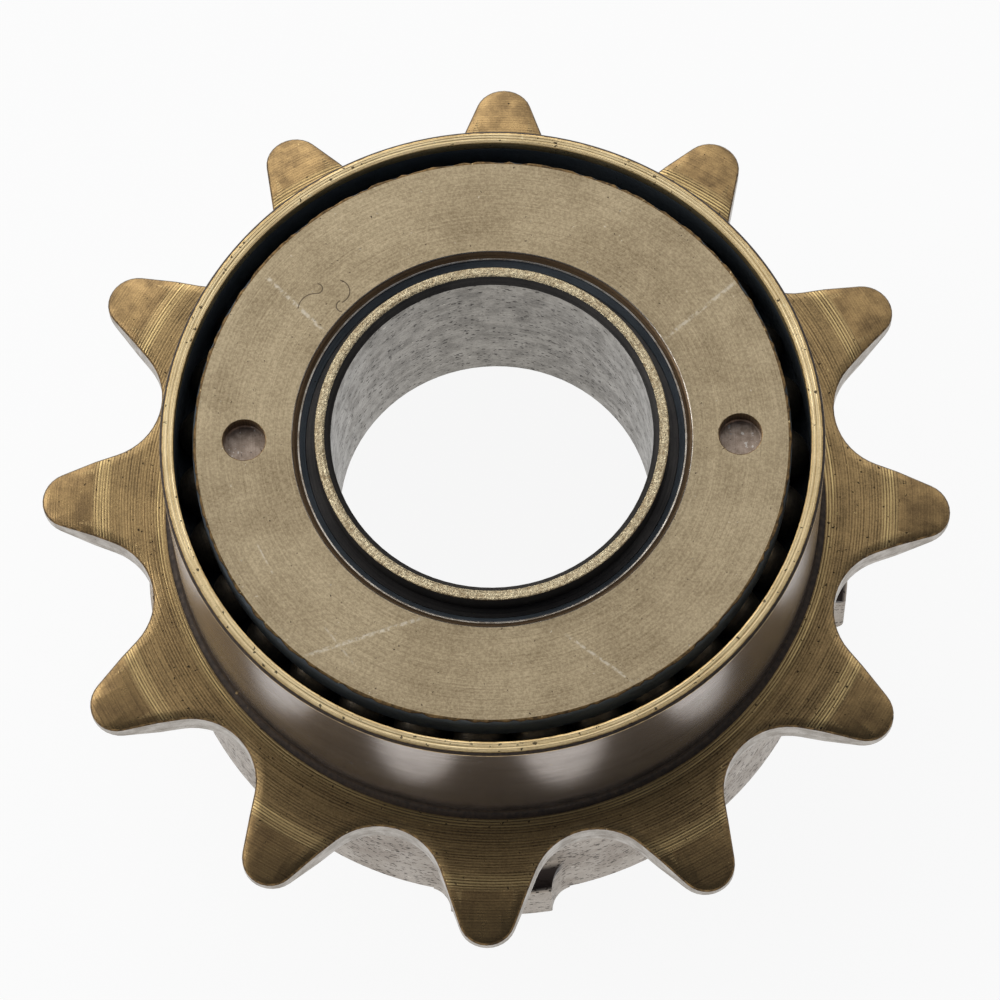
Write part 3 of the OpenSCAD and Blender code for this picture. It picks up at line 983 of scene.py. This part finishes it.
    def build(self) -> bpy.types.Object:
        """Builds the ring.

        Returns:
            The finished piece.
        """
        bm = bmesh.new()
        self.plate_half(bm)
        spin = Matrix.Rotation(math.radians(self.turn), 4, "Z")
        bmesh.ops.transform(bm, matrix=spin, verts=bm.verts)
        flip = Matrix.Translation((0.0, 0.0, (self.low + self.high) * MM)) @ Matrix.Scale(-1.0, 4, AXLE)
        copied = bmesh.ops.duplicate(bm, geom=bm.verts[:] + bm.edges[:] + bm.faces[:])["geom"]
        bmesh.ops.transform(bm, matrix=flip, verts=only(BMVert, copied))
        self.side_walls(bm)
        foot = [v for v in bm.verts if v.co.xy.length < (self.drum_r + self.fillet + 0.01) * MM]
        middle = (self.low + self.high) / 2.0 * MM
        top = [v for v in foot if v.co.z > middle]
        below = [v for v in foot if v.co.z < middle]
        shell = TurnedShell(bm, edges_among(bm, top), self.steps)
        shell.follow(self.profile())
        saw_top = self.upper_z - self.cup_r
        saw_low = self.lower_z + self.cup_r
        shell.grow(lambda index: (*self.saw(index), saw_top), RingZone.GAP)
        for vert in grow_strip(bm, shell.edges, RingZone.GAP):
            vert.co.z = saw_low * MM
        lower = TurnedShell(bm, edges_among(bm, below), self.steps)
        lower.follow([(self.race_r, z, RingZone.GAP) for z in (self.low, self.lower_z)])
        lower.follow(self.cup(self.lower_z, 1.0))
        lower.grow(lambda index: (*self.saw(index), saw_low), RingZone.GAP)
        bmesh.ops.remove_doubles(bm, verts=bm.verts, dist=1e-7)
        bmesh.ops.recalc_face_normals(bm, faces=bm.faces)
        return hand_over(bm, "chain_ring", self.finishes, "ring", ["outer_ring"])

    def side_walls(self, bm: BMesh) -> None:
        """Closes the rim of the plate, with the fine line that blanking leaves.

        Args:
            bm: The mesh with both faces of the plate.
        """
        inner_r = (self.drum_r + self.fillet + 0.1) * MM
        rim = [e for e in bm.edges if len(e.link_faces) == 1 and e.verts[0].co.xy.length > inner_r]
        made = bmesh.ops.bridge_loops(bm, edges=rim)
        for face in made["faces"]:
            face.material_index = RingZone.SIDE
        vertical = [e for e in made["edges"] if abs(e.verts[0].co.z - e.verts[1].co.z) > 0.3 * MM]
        cut = bmesh.ops.subdivide_edges(bm, edges=vertical, cuts=3, use_grid_fill=True)["geom_inner"]
        fresh = sorted(only(BMVert, cut), key=lambda v: v.co.z)
        bm.normal_update()
        line = self.high - self.blank_line
        columns: dict[tuple[float, float], list[BMVert]] = {}
        for vert in fresh:
            columns.setdefault((round(vert.co.x, 6), round(vert.co.y, 6)), []).append(vert)
        for column in columns.values():
            column.sort(key=lambda v: v.co.z)
            radius = column[0].co.xy.length / MM
            floor = self.low + self.high - self.face_height(radius)
            middle = max(line, floor + self.blank_margin)
            inward = column[0].normal.copy()
            inward.z = 0.0
            inward.normalize()
            for vert, rise in zip(column, self.blank_rises):
                vert.co.z = (middle + rise) * MM
            column[1].co -= inward * self.blank_depth * MM


@dataclass
class PawlRatchet:
    """Turns of the ratchet that follow from the pawls, as the solids have them."""

    pivot_at: float = 12.7
    length: float = 5.74
    crest_r: float = 15.4
    face_play: float = 0.2

    def turn(self) -> float:
        """Gives the angle of a ratchet tooth face in degrees."""
        sine = (self.crest_r**2 - self.pivot_at**2 - self.length**2) / (2.0 * self.pivot_at * self.length)
        x = -self.length * math.sqrt(1.0 - sine * sine)
        y = self.pivot_at + self.length * sine
        return math.degrees(math.atan2(y, x)) + self.face_play


class CoverZone(IntEnum):
    """The zones of the cover, in the order of its finishes."""

    FACE = 0
    BURR = 1
    GAP = 2
    CHAMFER = 3
    HOLE = 4
    GLEAM = 5


@dataclass
class Cover:
    """The screwed cover with its two pin spanner holes."""

    outer_r: float = 17.1025
    inner_r: float = 10.68
    rim_z: float = 25.6
    floor_z: float = 21.8
    chamfer: float = 0.74
    chamfer_h: float = 0.7
    track_r: float = 16.6
    cup_r: float = 1.6025
    ball_z: float = 22.0
    hole_r: float = 1.22
    hole_at: float = 14.1525
    hole_depth: float = 0.95
    hole_break: float = 0.05
    burr_width: float = 0.2
    fray: float = 0.15
    steps: int = 288
    cup_steps: int = 8
    hole_steps: int = 48
    finishes: tuple[SteelFinish, ...] = (COVER_FACE, RING_BURR, GAP_OXIDE, BROWN_OXIDE, HOLE_FLOOR, PAINTED_HIGHLIGHT_LINE)

    def build(self) -> bpy.types.Object:
        """Builds the cover.

        Returns:
            The finished piece.
        """
        bm = bmesh.new()
        level = Matrix.Translation((0.0, 0.0, self.rim_z * MM))
        face_r = (self.outer_r - self.burr_width) * MM
        outer = bmesh.ops.create_circle(bm, segments=self.steps, radius=face_r, matrix=level)
        inner_top = self.inner_r + self.chamfer + 0.04
        inner = bmesh.ops.create_circle(bm, segments=self.steps, radius=inner_top * MM, matrix=level)
        holes = []
        mouth_r = (self.hole_r + self.hole_break) * MM
        for side in (-1.0, 1.0):
            spot = Matrix.Translation((side * self.hole_at * MM, 0.0, self.rim_z * MM))
            made = bmesh.ops.create_circle(bm, segments=self.hole_steps, radius=mouth_r, matrix=spot)
            holes.append(made["verts"])
        bmesh.ops.triangle_fill(bm, edges=bm.edges[:], use_beauty=True, normal=AXLE)
        for verts in holes:
            self.sink_hole(bm, verts)
        shell = TurnedShell(bm, edges_among(bm, outer["verts"]), self.steps)
        shell.grow(lambda index: self.frayed(index, 0.03, 0.015), CoverZone.BURR)
        shell.grow(lambda index: self.frayed(index, 0.0, 0.07), CoverZone.BURR)
        shell.follow([(radius, height, CoverZone.GAP) for radius, height in self.race()])
        core = TurnedShell(bm, edges_among(bm, inner["verts"]), self.steps)
        # Painted highlights: the GLEAM rings take the near-white painted highlight line.
        core.follow(
            [
                (inner_top - 0.05, self.rim_z - 0.025, CoverZone.GLEAM),
                (self.inner_r + 0.43, self.rim_z - self.chamfer_h * 0.42, CoverZone.CHAMFER),
                (self.inner_r + 0.34, self.rim_z - self.chamfer_h * 0.45, CoverZone.GLEAM),
                (self.inner_r + 0.3, self.rim_z - self.chamfer_h * 0.6, CoverZone.GAP),
                (self.inner_r, self.rim_z - self.chamfer_h, CoverZone.GAP),
            ]
        )
        bmesh.ops.bridge_loops(bm, edges=shell.edges + core.edges)
        bmesh.ops.recalc_face_normals(bm, faces=bm.faces)
        return hand_over(bm, "screwed_cover", self.finishes, "body", ["cover"])

    def race(self) -> list[Point]:
        """Gives the outer wall, the ball race and the floor, from the rim down and in.

        Returns:
            The radius and the height of each ring.
        """
        turns = [math.pi / 2.0 / self.cup_steps * k for k in range(1, self.cup_steps + 1)]
        return [
            (self.outer_r, self.rim_z - 0.3),
            (self.outer_r, self.ball_z + self.cup_r),
            (self.track_r, self.ball_z + self.cup_r),
            *((self.track_r - self.cup_r * math.sin(a), self.ball_z + self.cup_r * math.cos(a)) for a in turns),
            (self.track_r - self.cup_r, self.floor_z),
            (self.inner_r, self.floor_z),
        ]

    def frayed(self, index: int, inward: float, depth: float) -> Place:
        """Places a vertex of the cover's uneven outer edge.

        Args:
            index: The number of the vertex.
            inward: How far inside the outer radius it lies before the bite.
            depth: How far it lies below the top.

        Returns:
            The radius, the angle and the height.
        """
        bite = Random(index * 7 + 3).random() ** 1.5 * self.fray
        return self.outer_r - inward - bite, index * math.tau / self.steps, self.rim_z - depth

    def sink_hole(self, bm: BMesh, verts: list[BMVert]) -> None:
        """Sinks one blind pin hole from its rim.

        Args:
            bm: The mesh.
            verts: The vertices of the hole's rim.
        """
        centre = sum((v.co for v in verts), Vector()) / len(verts)
        edges = edges_among(bm, verts)
        for radius, depth, zone in (
            (self.hole_r + 0.01, 0.02, CoverZone.BURR),
            (self.hole_r, 0.06, CoverZone.CHAMFER),
            (self.hole_r, self.hole_depth - 0.08, CoverZone.CHAMFER),
            (self.hole_r - 0.08, self.hole_depth, CoverZone.HOLE),
        ):
            ring = grow_strip(bm, edges, zone)
            for vert in ring:
                spoke = vert.co - centre
                spoke.z = 0.0
                vert.co = centre + spoke.normalized() * radius * MM - AXLE * depth * MM
            edges = edges_among(bm, ring)
        floor = bmesh.ops.contextual_create(bm, geom=edges)["faces"]
        for face in floor:
            face.material_index = CoverZone.HOLE


class BodyZone(IntEnum):
    """The zones of the inner body, in the order of its finishes."""

    INSIDE = 0
    BORE = 1
    LIP = 2
    COLLAR = 3
    SKIRT = 4


@dataclass
class InnerBody:
    """The fixed inner body, with its solid's own shape and eased edges."""

    bore_r: float = 9.2
    collar_r: float = 10.1
    collar_z: float = 26.5
    skirt_r: float = 19.75
    lug_r: float = 21.1
    ease: float = 0.12
    lug_ease: float = 0.25
    collar_foot: float = 20.9
    skirt_top: float = 12.3
    finishes: tuple[SteelFinish, ...] = (INNER_STEEL, BORE_WALL, LIP, BLACK_OXIDE, SKIRT)

    def zone(self, face: BMFace) -> BodyZone:
        """Tells the zone of a face by its place.

        Args:
            face: The face.

        Returns:
            The zone, which is the material number.
        """
        radii = [vert.co.xy.length / MM for vert in face.verts]
        heights = [vert.co.z / MM for vert in face.verts]
        inner, outer, low = min(radii), max(radii), min(heights)
        if outer < self.bore_r + 0.05:
            return BodyZone.BORE
        if outer < self.collar_r + 0.05 and low > self.collar_z - 0.2:
            return BodyZone.LIP
        if outer < self.collar_r + 0.6 and low > self.collar_foot:
            return BodyZone.COLLAR
        if inner > self.skirt_r - 0.4 and max(heights) < self.skirt_top:
            return BodyZone.SKIRT
        return BodyZone.INSIDE

    def build(self) -> bpy.types.Object:
        """Builds the body.

        Returns:
            The finished piece.
        """
        bm = bmesh.new()
        bm.from_mesh(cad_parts["inner_body"].data)
        bmesh.ops.remove_doubles(bm, verts=bm.verts, dist=1e-6)
        crown = [v for v in bm.verts if v.co.z > (self.collar_z - 0.01) * MM]
        bmesh.ops.bevel(
            bm, geom=edges_among(bm, crown), offset=self.ease * MM, segments=3, profile=0.5,
            affect="EDGES", material=-1,
        )
        bm.normal_update()
        corners = [
            edge
            for edge in bm.edges
            if min(v.co.xy.length for v in edge.verts) > (self.lug_r - 0.02) * MM
            and min(v.co.z for v in edge.verts) > 0.25 * MM
            and edge.calc_face_angle(0.0) > math.radians(20.0)
        ]
        bmesh.ops.bevel(
            bm, geom=corners, offset=self.lug_ease * MM, segments=3, profile=0.5, affect="EDGES", material=-1,
            clamp_overlap=True,
        )
        bm.normal_update()
        for face in bm.faces:
            face.material_index = self.zone(face)
        return hand_over(bm, "inner_body_turned", self.finishes, "body", ["inner_body"])


@dataclass
class InnerWorks:
    """The balls, shims, pawls and springs, which keep their solids."""

    finish_of: dict[str, SteelFinish] = field(
        default_factory=lambda: {
            "thin_shim": SHIM_STEEL, "thick_shim": SHIM_STEEL,
            "upper_balls": BALL_STEEL_DARK_FOR_SHADE, "lower_balls": BALL_STEEL_DARK_FOR_SHADE,
            "pawl_left": PAWL_STEEL, "pawl_right": PAWL_STEEL,
            "pawl_spring_left": SPRING_STEEL, "pawl_spring_right": SPRING_STEEL,
        }
    )

    def build(self) -> None:
        """Gives each inner part its finish."""
        for name, finish in self.finish_of.items():
            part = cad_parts[name]
            part.data.materials.clear()
            part.data.materials.append(finish.material())
            LOG.info("%s: CAD solid with finish %s", name, finish.name)


@dataclass(frozen=True)
class Lamp:
    """A square soft lamp that points at the object, in metres and watts."""

    name: str
    place: Place
    size: float
    power: float

    def hang(self) -> None:
        """Makes the lamp and links it to the scene."""
        data = bpy.data.lights.new(self.name, "AREA")
        data.shape = "SQUARE"
        data.size = self.size
        data.energy = self.power
        lamp = put_in_scene(self.name, data)
        lamp.location = self.place
        aim = Vector((0.0, 0.0, 0.02)) - lamp.location
        lamp.rotation_euler = aim.to_track_quat("-Z", "Y").to_euler()


@dataclass
class Studio:
    """The camera, the pale floor and the soft light.

    The world's light is a base level that rises toward the back and the right between two
    limits, and turns to a level of its own near the horizon.
    """

    eye: Place = (0.280, -116.97, 312.83)
    eye_turn: float = 2.2
    eye_base: float = 25.6
    tilt: float = 1.223791
    roll: float = -0.048367
    focal_px: float = 5859.0
    frame_px: float = 1000.0
    sensor: float = 36.0
    floor_size: float = 6.0
    floor_drop: float = 0.02
    paper: float = 0.86
    glow: float = 0.99
    glow_share: float = 0.93
    base_light: float = 0.15
    back_light: float = 1.85
    right_light: float = 0.05
    light_limits: Point = (0.02, 1.25)
    horizon_light: float = 0.85
    horizon_right: float = -0.4
    horizon_reach: Point = (0.65, 0.15)
    cool: Point = (0.01, 0.035)
    lamps: tuple[Lamp, ...] = (
        Lamp("soft_back", (-0.3, 0.9, 0.6), 0.8, 3.0),
        Lamp("soft_left", (-0.9, 0.2, 0.6), 0.6, 4.0),
    )

    def camera(self) -> None:
        """Places the camera where the photograph was taken from."""
        turn = Matrix.Rotation(math.radians(self.eye_turn), 3, "Z")
        right = Vector((1.0, 0.0, 0.0))
        ahead = Vector((0.0, math.cos(self.tilt), -math.sin(self.tilt)))
        up = Vector((0.0, math.sin(self.tilt), math.cos(self.tilt)))
        c, s = math.cos(self.roll), math.sin(self.roll)
        axes = [turn @ (right * c + up * s), turn @ (up * c - right * s), turn @ -ahead]
        place = turn @ Vector(self.eye) + Vector((0.0, 0.0, self.eye_base))
        lens = bpy.data.cameras.new("photo_camera")
        lens.sensor_width = self.sensor
        lens.lens = self.focal_px / self.frame_px * self.sensor
        lens.clip_start, lens.clip_end = 0.01, 20.0
        eye = put_in_scene("photo_camera", lens)
        eye.matrix_world = Matrix.Translation(place * MM) @ Matrix(axes).transposed().to_4x4()
        bpy.context.scene.camera = eye

    def floor(self) -> None:
        """Lays the white floor, which keeps the object's shadow."""
        bm = bmesh.new()
        just_below = Matrix.Translation((0.0, 0.0, -self.floor_drop * MM))
        bmesh.ops.create_grid(bm, x_segments=2, y_segments=2, size=self.floor_size / 2.0, matrix=just_below)
        mesh = bpy.data.meshes.new("floor")
        bm.to_mesh(mesh)
        bm.free()
        material = bpy.data.materials.new("floor_white")
        material.use_nodes = True
        graph = Graph(material.node_tree)
        path = graph.node("ShaderNodeLightPath", {}).outputs
        seen = graph.math("MAXIMUM", path["Is Camera Ray"], path["Is Glossy Ray"])
        seen = graph.math("MAXIMUM", seen, path["Is Transmission Ray"])
        paper = graph.node("ShaderNodeBsdfDiffuse", {0: (self.paper,) * 3}).outputs[0]
        glow = graph.node("ShaderNodeEmission", {0: (1.0, 1.0, 1.0), 1: self.glow}).outputs[0]
        share = graph.times(seen, self.glow_share)
        both = graph.node("ShaderNodeMixShader", {0: share, 1: paper, 2: glow}).outputs[0]
        graph.node("ShaderNodeOutputMaterial", {0: both})
        mesh.materials.append(material)
        floor = put_in_scene("floor", mesh)

    def world(self) -> None:
        """Sets a pale world: white to look at, with a softer light on the object."""
        world = bpy.data.worlds.new("studio")
        world.use_nodes = True
        bpy.context.scene.world = world
        graph = Graph(world.node_tree)
        way = graph.node("ShaderNodeTexCoord", {}).outputs["Generated"]
        axes = graph.node("ShaderNodeSeparateXYZ", {0: way}).outputs
        lean = graph.times(axes[0], self.right_light, self.base_light)
        level = graph.times(axes[1], self.back_light, lean)
        least, most = self.light_limits
        level = graph.math("MINIMUM", graph.math("MAXIMUM", level, least), most)
        low = graph.ramp(axes[2], *self.horizon_reach)
        side = graph.times(axes[0], self.horizon_right, self.horizon_light)
        level = graph.times(graph.math("SUBTRACT", side, level), low, level)
        path = graph.node("ShaderNodeLightPath", {}).outputs
        straight = graph.math("MAXIMUM", path["Is Camera Ray"], path["Is Transmission Ray"])
        green, blue = (graph.math("ADD", level, more) for more in self.cool)
        cool = graph.join(level, green, blue)
        lit = graph.node("ShaderNodeBackground", {0: cool, 1: 1.0}).outputs[0]
        white = graph.node("ShaderNodeBackground", {0: (1.0, 1.0, 1.0), 1: 1.0}).outputs[0]
        both = graph.node("ShaderNodeMixShader", {0: straight, 1: lit, 2: white}).outputs[0]
        graph.node("ShaderNodeOutputWorld", {0: both})

    def build(self) -> None:
        """Sets up the whole studio."""
        self.camera()
        self.floor()
        self.world()
        for lamp in self.lamps:
            lamp.hang()
        bpy.context.scene.view_settings.view_transform = "Standard"


def main() -> None:
    """Builds the studio and every piece."""
    logging.basicConfig(level=logging.INFO, format="%(name)s %(message)s")
    Studio().build()
    ChainRing(ratchet_turn=PawlRatchet().turn()).build()
    Cover().build()
    InnerBody().build()
    InnerWorks().build()


if __name__ == "__main__":
    main()
